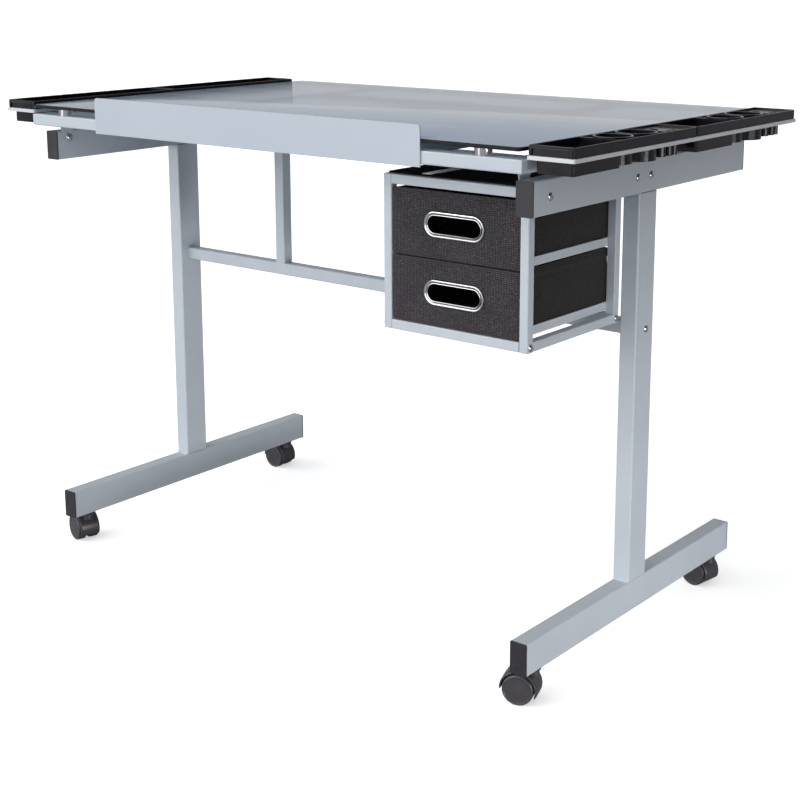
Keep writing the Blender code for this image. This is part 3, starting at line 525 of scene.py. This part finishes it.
for lvl in ("lower", "upper"):
    node = f"drawer_{lvl}"
    body = f"drawer_{lvl}"
    lo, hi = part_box(node)
    glo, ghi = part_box(f"drawer_grommet_{lvl}")
    gx, gz = (glo.x + ghi.x) / 2, (glo.z + ghi.z) / 2
    ghalf, gr = (ghi.x - glo.x) / 2 - (ghi.z - glo.z) / 2, (ghi.z - glo.z) / 2

    # front: a fabric-wrapped board with a turned hem along its lower edge
    yf, yb = lo.y, lo.y + 0.0048
    bm = bmesh.new()
    x0, x1, z0, z1 = lo.x, hi.x, lo.z, hi.z
    if lvl == "lower":
        z1 = z0 + 0.0860
    rings = []

    def ring(inset, y, r=0.0032):
        return [Vector((px, y, pz)) for px, pz in rrect(x0 + inset, x1 - inset, z0 + inset, z1 - inset, max(r - inset * 0.4, 0.0008), 5)]

    rings += [ring(0.0016, yb), ring(0.0004, yb - 0.0004), ring(0.0, yb - 0.0014)]
    for k in range(0, 6):
        a = math.radians(90 * k / 5)
        rings.append(ring(0.0018 * (1 - math.cos(a)), yf + 0.0018 * (1 - math.sin(a)) + 0.0002))
    for inset in (0.004, 0.008, 0.014, 0.020, 0.028, 0.036, 0.0425):
        inset = min(inset, (z1 - z0) / 2 - 0.0013)    # the innermost ring keeps some height
        rings.append(ring(inset, yf - 0.0006 * math.sin(math.pi * min(1.0, inset / 0.0436))))
    vs = loft(bm, rings)
    bm.faces.new(vs[0])
    bm.faces.new(vs[-1])
    for v in bm.verts:                                # slight unevenness of the cloth over its board
        if v.co.y < yf + 0.001:
            v.co.y += 0.00025 * noise.noise(v.co * 38.0 + Vector((0, 7.7 if lvl == "upper" else 1.3, 0)))
    front = finish_mesh(f"drawer_{lvl}_front_cloth", bm, M_FAB_F, None, 50)
    tool = bmesh.new()
    tv = loft(tool, [[Vector((px, y, pz)) for px, pz in oblong(gx, gz, ghalf, gr - 0.0040)] for y in (yf - 0.01, yb + 0.01)])
    tool.faces.new(tv[0]); tool.faces.new(tv[1])
    cut(front, tool)
    front.data.shade_smooth()
    front.data.set_sharp_from_angle(angle=math.radians(50))
    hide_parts(node)
    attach(front, body)

    # box behind the front
    bx0, bx1 = lo.x + 0.0020, hi.x - 0.0020
    by0_, by1_ = yb + 0.0002, hi.y
    bz1 = hi.z if lvl == "lower" else z1 - 0.0008
    bm = bmesh.new()
    vs = loft(bm, shell_rings(bx0, bx1, by0_, by1_, lo.z + 0.0058 if lvl == "lower" else lo.z + 0.0043, bz1, 0.0030))
    bm.faces.new(vs[0])
    bm.faces.new(vs[-1])
    # the box is made from the darker side copy of the cloth: painted shade on its sides
    box = finish_mesh(f"drawer_{lvl}_box_cloth", bm, M_FAB_SIDE_SHADED, None, 45)
    tool = bmesh.new()
    tv = loft(tool, [[Vector((px, y, pz)) for px, pz in oblong(gx, gz, ghalf, gr - 0.0040)] for y in (by0_ - 0.01, by0_ + 0.008)])
    tool.faces.new(tv[0]); tool.faces.new(tv[1])
    cut(box, tool)
    box.data.shade_smooth()
    box.data.set_sharp_from_angle(angle=math.radians(45))
    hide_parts(node)
    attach(box, body)

    # stitching along the hem and the sides of the front
    bm = bmesh.new()
    ys = yf - 0.0003
    stitches(bm, [(x0 + 0.006, ys, z0 + 0.0075), (x1 - 0.006, ys, z0 + 0.0075)], (0, -1, 0))
    stitches(bm, [(x0 + 0.006, ys, z0 + 0.0100), (x1 - 0.006, ys, z0 + 0.0100)], (0, -1, 0))
    stitches(bm, [(x0 + 0.006, ys, z1 - 0.0060), (x1 - 0.006, ys, z1 - 0.0060)], (0, -1, 0))
    for sx, xs in ((-1, bx0 - 0.0001), (1, bx1 + 0.0001)):
        stitches(bm, [(xs, by0_ + 0.006, bz1 - 0.0100), (xs, by1_ - 0.006, bz1 - 0.0100)], (sx, 0, 0))
        stitches(bm, [(xs, by1_ - 0.007, lo.z + 0.012), (xs, by1_ - 0.007, bz1 - 0.013)], (sx, 0, 0))
    st = finish_mesh(f"drawer_{lvl}_stitches", bm, M_THREAD, None, 60)
    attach(st, body)

    # pressed eyelet: rolled outer bead, groove, inner lip and neck
    bm = bmesh.new()
    prof = [(0.0, 9.4), (0.0, -0.5), (0.25, -1.25), (0.8, -1.65), (1.4, -1.45), (1.9, -0.95), (2.4, -0.85), (2.9, -1.35),
            (3.5, -2.0), (4.3, -2.35), (5.1, -2.25), (5.8, -1.7), (6.3, -0.9), (6.45, -0.1), (6.2, 0.15), (2.2, 0.15),
            (1.5, 0.5), (1.3, 1.2), (1.3, 9.4)]
    base_y = glo.y + 0.0023
    rin = gr - 0.00645
    rings = []
    for d, y in prof:
        rings.append([Vector((px, base_y + y * MM, pz)) for px, pz in oblong(gx, gz, ghalf, rin + d * MM, 28)])
    loft(bm, rings, close_rings=True)
    bm.faces.ensure_lookup_table()
    for i, (d, y) in enumerate(prof[:-1]):             # the pressed groove, the outer rim's foot and the bore get a dark chrome: painted shade and painted dark reflection in the hollows
        if 1.2 < (d + prof[i + 1][0]) / 2 < 2.6 or 5.9 < (d + prof[i + 1][0]) / 2 < 6.5 or i < 2:
            for k in range(len(rings[0])):
                bm.faces[i * len(rings[0]) + k].material_index = 1
    ey = finish_mesh(f"drawer_{lvl}_eyelet", bm, M_CHROME, None, 30)
    ey.data.materials.append(M_CHROME_PAINTED_SHADE)
    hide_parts(f"drawer_grommet_{lvl}")
    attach(ey, body)

# ------------------------------------------------------------------ casters
JOINTS = {j["name"]: j for j in frame["joints"]}


def caster(which):
    sw = JOINTS[f"caster_{which}_swivel"]
    ro = JOINTS[f"caster_{which}_roll"]
    P, Q = Vector(sw["pos_m"]), Vector(ro["pos_m"])
    dx = Vector((Q.x - P.x, Q.y - P.y, 0)).normalized()
    dy = Vector((0, 0, 1)).cross(dx)
    M = Matrix(((dx.x, dy.x, 0, P.x), (dx.y, dy.y, 0, P.y), (dx.z, dy.z, 1, 0), (0, 0, 0, 1)))
    trail = (Vector((Q.x, Q.y, 0)) - Vector((P.x, P.y, 0))).length
    R = Q.z
    hlo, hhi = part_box(f"caster_hood_{which}")

    # hood: an arched shell over both wheels, its end rings drawn in a little, its sides closed by a narrow rim
    def arch(a, rad):
        return Vector((trail - rad * math.cos(a), 0, R + rad * math.sin(a)))

    bm = bmesh.new()
    w = 0.0165
    a0, a1 = math.radians(-22), math.radians(183)
    N = 44
    sect = []                                        # cross-section (radius, y): outside, round the rim, inside
    ri, ro_ = 0.0226, 0.0252
    for y in (-1.0, 1.0):
        pass
    outer = [(-w + 0.0012, ro_ - 0.0002), (-w + 0.0040, ro_), (-0.006, ro_ + 0.0001), (0.0, ro_ + 0.0002), (0.006, ro_ + 0.0001),
             (w - 0.0040, ro_), (w - 0.0012, ro_ - 0.0002), (w - 0.0003, ro_ - 0.0008), (w, ro_ - 0.0016), (w - 0.0002, ri + 0.0002)]
    inner = [(w - 0.0012, ri), (0.006, ri), (-0.006, ri), (-w + 0.0012, ri), (-w + 0.0002, ri + 0.0002), (-w, ro_ - 0.0016), (-w + 0.0003, ro_ - 0.0008)]
    sect = outer + inner
    rings = []
    for k in range(N + 1):
        a = a0 + (a1 - a0) * k / N
        flare = 0.0
        if k == 0 or k == N:
            shrink = 0.65
        else:
            shrink = 1.0
        rings.append([])
        for y, rad in sect:
            mid = (ri + ro_) / 2
            rr = mid + (rad - mid) * shrink
            p = arch(a, rr)
            p.y = y * (0.985 if shrink < 1 else 1.0)
            rings[-1].append(M @ p)
    vs = loft(bm, rings)
    bm.faces.new(vs[0]); bm.faces.new(list(reversed(vs[-1])))
    shell = finish_mesh(f"caster_{which}_hood_shell", bm, M_CASTER, None, 32)
    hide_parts(f"caster_hood_{which}")
    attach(shell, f"caster_{which}")

    # web between the wheels
    bm = bmesh.new()
    pts = []
    for k in range(41):
        a = a0 + (a1 - a0) * k / 40
        pts.append((trail - 0.0236 * math.cos(a), R + 0.0236 * math.sin(a)))
    rings = []
    for y, off in ((-0.0031, 0.0006), (-0.0027, 0.0), (0.0027, 0.0), (0.0031, 0.0006)):
        cx, cz = trail, R + 0.004
        rings.append([M @ Vector((cx + (px - cx) * (1 - off * 30), y, cz + (pz - cz) * (1 - off * 30))) for px, pz in pts])
    vs = loft(bm, rings)
    bm.faces.new(vs[0]); bm.faces.new(list(reversed(vs[-1])))
    web = finish_mesh(f"caster_{which}_web", bm, M_CASTER, None, 32)
    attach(web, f"caster_{which}")

    # stem socket: collar with a flange under the foot, and the steel stem
    zt = 0.0502
    bm = bmesh.new()
    lathe(bm, [(0, 38.0), (8.6, 38.0), (8.4, 42.0), (8.0, 45.6), (8.3, 46.2), (10.2, 46.8), (10.4, 47.4), (10.4, 48.4), (10.0, 48.9), (0, 48.9)], 48,
          Matrix.Translation((P.x, P.y, 0)))
    col = finish_mesh(f"caster_{which}_collar", bm, M_CASTER, None, 32)
    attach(col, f"caster_{which}")
    bm = bmesh.new()
    top = hhi.z / MM
    lathe(bm, [(0, 48.0), (4.0, 48.0), (4.0, top - 6.0), (4.2, top - 5.0), (4.2, top - 3.5), (3.4, top - 3.0), (3.4, top - 2.0), (3.8, top - 1.6),
               (3.2, top), (0, top)], 32, Matrix.Translation((P.x, P.y, 0)))
    stem = finish_mesh(f"caster_{which}_stem", bm, M_ZINC, None, 32)
    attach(stem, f"caster_{which}")

    # two wheels: tread with a soft shoulder, dished face with a rim line and a hub cap
    W = Matrix(((dx.x, 0, dy.x, Q.x), (dx.y, 0, dy.y, Q.y), (0, 1, 0, Q.z), (0, 0, 0, 1)))   # its +Z runs along the axle
    Rm = R / MM
    for s in (-1, 1):
        bm = bmesh.new()
        prof = [(0, 4.2), (9.0, 4.2), (9.6, 4.8), (Rm - 3.2, 4.8), (Rm - 1.0, 4.3), (Rm - 0.25, 4.7), (Rm, 5.6), (Rm, 15.4), (Rm - 0.2, 16.6),
                (Rm - 0.9, 17.7), (Rm - 1.9, 18.4), (Rm - 2.5, 18.5), (Rm - 2.9, 18.25), (Rm - 3.2, 17.8), (Rm - 3.6, 17.65),
                (12.0, 17.9), (6.0, 18.2), (0, 18.3)]
        wheel_m = W @ (Matrix.Identity(4) if s > 0 else Matrix.Rotation(math.pi, 4, "X"))
        lathe(bm, prof, 72, wheel_m)
        wh = finish_mesh(f"caster_{which}_wheel_{'outer' if s > 0 else 'inner'}", bm, M_CASTER, None, 28)
        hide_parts(f"caster_wheels_{which}")
        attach(wh, f"wheels_{which}")
    bm = bmesh.new()
    lathe(bm, [(0, -6.0), (3.0, -6.0), (3.0, 6.0), (0, 6.0)], 32, W)
    ax = finish_mesh(f"caster_{which}_axle", bm, M_ZINC, None, 32)
    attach(ax, f"wheels_{which}")


for which in ("front_right", "front_left", "rear_right", "rear_left"):
    caster(which)

# ---------------------------------------------------------------- glass top
lo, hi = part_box("glass_top")
bm = bmesh.new()
prof = [(0.0010, 0.0), (0.0004, 0.00035), (0.0, 0.0010), (0.0, 0.0040), (0.0004, 0.00465), (0.0010, 0.0050)]
rings = [[Vector((px, py, lo.z + z)) for px, py in rrect(lo.x + off, hi.x - off, lo.y + off, hi.y - off, 0.0045, 8)] for off, z in prof]
vs = loft(bm, rings)
caps = [bm.faces.new(vs[0]), bm.faces.new(vs[-1])]
for f in bm.faces:
    f.material_index = 0 if f in caps else 1
slab = finish_mesh("glass_sheet", bm, M_GLASS, None, 30)
slab.data.materials.append(M_GLASS_EDGE)
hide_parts("glass_top")
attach(slab, "tabletop")

# --------------------------------------------------------------- tray rims
def torus(bm, cx, cy, cz, r_ring, rx, rz, n=64, k=10):
    rings = []
    for i in range(n):
        a = 2 * math.pi * i / n
        rings.append([Vector((cx + (r_ring + rx * math.cos(q)) * math.cos(a), cy + (r_ring + rx * math.cos(q)) * math.sin(a),
                              cz + rz * math.sin(q))) for q in (2 * math.pi * j / k for j in range(k))])
    loft(bm, rings, close_rings=True)


for yn in ("front", "rear"):
    lo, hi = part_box(f"tray_right_{yn}")
    body = f"tray_right_{yn}"
    cx, y0, zt = lo.x + 0.0348, lo.y, hi.z
    bm = bmesh.new()
    for dy, r in ((0.131, 0.0240), (0.186, 0.0255)):
        torus(bm, cx, y0 + dy, zt - 0.0002, r - 0.0006, 0.0015, 0.0009, 72)
    for dx, dy, r in ((0.013, 0.223, 0.0074), (0.016, 0.2385, 0.0052), (0.016, 0.2515, 0.0052), (-0.010, 0.228, 0.0066), (-0.010, 0.2445, 0.0066)):
        torus(bm, cx + dx, y0 + dy, zt - 0.0028, r - 0.0007, 0.0010, 0.0007, 36, 8)
    rims = finish_mesh(f"tray_right_{yn}_rims", bm, M_RIM, None, 60)
    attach(rims, body)

for nm in ("right_front", "right_rear", "left_front", "left_rear"):
    lo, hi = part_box(f"tray_{nm}")
    top = hi.z - (0.0012 if nm.startswith("right") else 0.0)
    bm = bmesh.new()
    rings = []
    for off, z in ((0.0006, -0.0003), (0.0002, 0.00005), (0.0006, 0.0004), (0.0012, 0.0005), (0.0018, 0.0004), (0.0022, 0.00005), (0.0018, -0.0003)):
        rings.append([Vector((px, py, top + z)) for px, py in rrect(lo.x + off, hi.x - off, lo.y + off, hi.y - off, 0.0030 - off * 0.5, 6)])
    loft(bm, rings, close_rings=True)
    lip = finish_mesh(f"tray_{nm}_lip", bm, M_RIM, None, 60)
    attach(lip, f"tray_{nm}")

# raised border of the end panels and the moulded corner ribs
for nm in ("right_front", "right_rear", "left_front", "left_rear"):
    lo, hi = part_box(f"tray_{nm}")
    s_ = -1 if nm.endswith("front") else 1
    y = lo.y if s_ < 0 else hi.y
    z_mid, z_top = hi.z - (0.0132 if nm.startswith("right") else 0.0120), hi.z - (0.0012 if nm.startswith("right") else 0.0)
    bm = bmesh.new()
    xa, xb = lo.x + 0.0045, hi.x - 0.0080
    za, zb = z_mid + 0.0006, z_top - 0.0028
    tube_along(bm, line((xa, y + 0.0002 * s_, za), (xa, y + 0.0002 * s_, zb), 6)[:-1] + line((xa, y + 0.0002 * s_, zb), (xb, y + 0.0002 * s_, zb), 16)[:-1]
               + line((xb, y + 0.0002 * s_, zb), (xb, y + 0.0002 * s_, za), 6), 0.00045, 8)
    for xx in (lo.x + 0.0011, hi.x - 0.0011):
        tube_along(bm, line((xx, y - 0.0010 * s_, z_mid + 0.0005), (xx, y - 0.0010 * s_, z_top - 0.0004), 6), 0.00055, 8)
    lx0, lx1 = lo.x + 0.0090, hi.x - 0.0032
    yl = y + (0.0042 + (0.0 if nm.startswith("right") else 0.0018)) * -s_
    for xx in (lx0 + 0.0011, lx1 - 0.0011) if nm != "right_rear" else ():
        tube_along(bm, line((xx, yl - 0.0010 * s_, lo.z + 0.001), (xx, yl - 0.0010 * s_, z_mid - 0.0030), 6), 0.00055, 8)
    trim = finish_mesh(f"tray_{nm}_border", bm, M_RIM, None, 60)
    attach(trim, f"tray_{nm}")

# ------------------------------------------- painted highlight: a pale strip on the dust cover
lo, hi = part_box("cabinet_top_panel")
bm = bmesh.new()
rings = []
for off, z in ((0.0003, 0.00012), (0.0, 0.0003), (0.0, 0.0007), (0.0003, 0.0009)):
    rings.append([Vector((px, py, hi.z + z)) for px, py in rrect(0.2545 + off, 0.2695 - off, lo.y + 0.003 + off, lo.y + 0.068 - off, 0.0015, 4)])
vs = loft(bm, rings)
bm.faces.new(vs[0])
bm.faces.new(vs[-1])
strip = finish_mesh("dust_cover_painted_highlight", bm, M_PAINTED_HIGHLIGHT, None, 40)
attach(strip, "base")

# --------------------------------------------------- screws and weld beads
for side_, s in (("R", 1), ("L", -1)):
    lo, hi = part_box(f"rail_{side_}")
    xo = hi.x if s > 0 else lo.x
    for i, y in enumerate((-0.2400, -0.0338, -0.0002)):
        screw(f"rail_screw_{side_}_{i}", (xo, y, (lo.z + hi.z) / 2), (s, 0, 0), "base", 0.4 + i)
    slo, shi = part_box("back_frame")
    screw(f"post_screw_{side_}", (xo, (slo.y + shi.y) / 2, slo.z + 0.0095), (s, 0, 0), "base", 1.1)
    hlo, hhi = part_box(f"hinge_bracket_{side_}")
    xi = (hlo.x if s > 0 else hhi.x)
    tj = JOINTS["tilt"]["pos_m"]
    screw(f"hinge_screw_{side_}", (xi, tj[1], tj[2]), (-s, 0, 0), "tabletop", 0.6, 1.15)
clo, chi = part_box("cabinet_side_R")
llo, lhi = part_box("cabinet_side_L")
for nm, x, n in (("right", chi.x, 1), ("left", llo.x, -1)):
    for e, y in (("front", clo.y + 0.00635), ("rear", clo.y + 0.2156 - 0.00635)):
        screw(f"cabinet_screw_{nm}_{e}", (x, y, clo.z + 0.0066), (n, 0, 0), "base", 0.9, 0.92)


def bead_loop(name, corners, r, body, seed, closed=True, step=0.0022):
    pts = []
    cs = corners + ([corners[0]] if closed else [])
    for a, b in zip(cs, cs[1:]):
        n = max(2, int((Vector(b) - Vector(a)).length / step))
        seg = line(a, b, n)
        pts += seg[:-1]
    if not closed:
        pts.append(Vector(cs[-1]))
    bm = bmesh.new()
    tube_along(bm, pts, r, 8, wobble=0.45, seed=seed, closed=closed)
    ob = finish_mesh(name, bm, M_WELD, None, 60)
    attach(ob, body)
    return ob


for side_ in ("R", "L"):
    lo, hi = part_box(f"post_{side_}")
    for tag, z in (("foot", lo.z + 0.0002), ("rail", hi.z - 0.0002)):
        # only the front and rear edges carry a bead, the sides are flush and dressed
        for e, y in (("front", lo.y), ("rear", hi.y)):
            bead_loop(f"weld_{tag}_{side_}_{e}", [(lo.x + 0.0015, y, z), (hi.x - 0.0015, y, z)], 0.0013, "base", 3.0 if e == "front" else 5.0, closed=False)
    blo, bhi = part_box("back_frame")
    xe = blo.x + 0.0001 if side_ == "L" else bhi.x - 0.0001
    for tag, z0, z1 in (("stretcher", blo.z, blo.z + 0.019), ("crossbar", bhi.z - 0.019, bhi.z)):
        bead_loop(f"weld_{tag}_{side_}", [(xe, blo.y, z0), (xe, bhi.y, z0), (xe, bhi.y, z1), (xe, blo.y, z1)], 0.0011, "base", 7.0)
for s, tag in ((-1, "left"), (1, "right")):
    for e, x in (("inner", s * 0.213 - 0.0095), ("outer", s * 0.213 + 0.0095)):
        for lv, z in (("low", blo.z + 0.019), ("high", bhi.z - 0.019)):
            bead_loop(f"weld_upright_{tag}_{e}_{lv}", [(x, blo.y + 0.0012, z), (x, bhi.y - 0.0012, z)], 0.0010, "base", 2.0, closed=False)

# ------------------------------------------------------------------- studio
floor_m = Graph("floor_white")
soft = floor_m.noise(1.3, 3.0, 0.6)
floor_m.link(floor_m.mix(floor_m.span(soft, 0.3, 0.7, 0.0, 1.0), (0.93, 0.93, 0.93), (0.96, 0.96, 0.96)), floor_m.b.inputs["Base Color"])
rays = floor_m.t.nodes.new("ShaderNodeLightPath")
eye = floor_m.math("MAXIMUM", rays.outputs["Is Camera Ray"], rays.outputs["Is Transmission Ray"])
floor_m.link(floor_m.mix(eye, (0.42, 0.42, 0.43), floor_m.b.inputs["Base Color"].links[0].from_socket), floor_m.b.inputs["Base Color"])
floor_m.link(floor_m.math("MULTIPLY", eye, 0.50), floor_m.b.inputs["Emission Strength"])
floor_m.set(Roughness=0.9, Specular_IOR_Level=0.1, Emission_Color=(1.0, 1.0, 1.0, 1.0))
bm = bmesh.new()
bmesh.ops.create_grid(bm, x_segments=2, y_segments=2, size=60.0)
bmesh.ops.translate(bm, vec=(0, 0, -0.0002), verts=bm.verts)
floor = finish_mesh("studio_floor", bm, floor_m.m, None, 0)

# a white studio: one very large soft source in front and to the left, weak light from elsewhere
world = bpy.data.worlds.new("studio_world")
bpy.context.scene.world = world
world.use_nodes = True
wt = world.node_tree
wb = wt.nodes["Background"]
gen = wt.nodes.new("ShaderNodeTexCoord").outputs["Generated"]

def wmath(op, a, b):
    n = wt.nodes.new("ShaderNodeMath")
    n.operation = op
    for i, v in enumerate((a, b)):
        if isinstance(v, (int, float)):
            n.inputs[i].default_value = v
        else:
            wt.links.new(v, n.inputs[i])
    return n.outputs[0]


def lobe(direction, power, strength):
    """Soft light from one direction of the sky, fading to none at right angles to it."""
    dot = wt.nodes.new("ShaderNodeVectorMath")
    dot.operation = "DOT_PRODUCT"
    dot.inputs[1].default_value = Vector(direction).normalized()
    wt.links.new(gen, dot.inputs[0])
    return wmath("MULTIPLY", wmath("POWER", wmath("MAXIMUM", dot.outputs["Value"], 0.0), power), strength)


front = lobe((-0.36, -0.91, 0.08), 1.3, 3.02)
rear = lobe((-0.30, 0.94, 0.10), 1.6, 0.62)
level = wmath("ADD", wmath("ADD", front, rear), 0.03)
cam_ray = wt.nodes.new("ShaderNodeLightPath").outputs["Is Camera Ray"]
mixer = wt.nodes.new("ShaderNodeMix")
mixer.data_type = "FLOAT"
wt.links.new(cam_ray, mixer.inputs[0])
wt.links.new(level, mixer.inputs[2])
mixer.inputs[3].default_value = 1.0
wt.links.new(mixer.outputs[0], wb.inputs["Strength"])
wb.inputs["Color"].default_value = (1.0, 1.0, 1.0, 1.0)


def area(name, pos, target, size, power, size_y=None, spread=180.0):
    d = bpy.data.lights.new(name, "AREA")
    d.shape = "RECTANGLE"
    d.size, d.size_y = size, size_y or size
    d.energy = power
    d.spread = math.radians(spread)
    ob = bpy.data.objects.new(name, d)
    bpy.context.scene.collection.objects.link(ob)
    ob.location = pos
    ob.rotation_mode = "QUATERNION"
    ob.rotation_quaternion = (Vector(target) - Vector(pos)).to_track_quat("-Z", "Y")
    return ob


area("key_front", (-1.3, -3.6, 0.8), (0, 0, 0.25), 2.2, 9, 1.2)
area("low_right", (3.2, -0.2, 0.16), (0.0, 0.0, 0.10), 1.6, 3.0, 0.28, 34.0)

view = bpy.context.scene.view_settings
view.view_transform = "Standard"
view.look = "None"
view.exposure = 0.0

# ------------------------------------------------------------------- camera
cam_data = bpy.data.cameras.new("photo_camera")
cam = bpy.data.objects.new("photo_camera", cam_data)
bpy.context.scene.collection.objects.link(cam)
cam_data.sensor_width = 36.0
cam_data.lens = 1491.0 / 800 * 36.0
cam_data.shift_y = -0.1625
yaw, pitch, roll = 0.68337, 0.20194, -0.003
cam.matrix_world = (Matrix.Translation((1.42913, -1.72181, 0.93134)) @ Matrix.Rotation(yaw, 4, "Z")
                    @ Matrix.Rotation(math.pi / 2 - pitch, 4, "X") @ Matrix.Rotation(roll, 4, "Z"))
cam_data.clip_start, cam_data.clip_end = 0.05, 100.0
bpy.context.scene.camera = cam
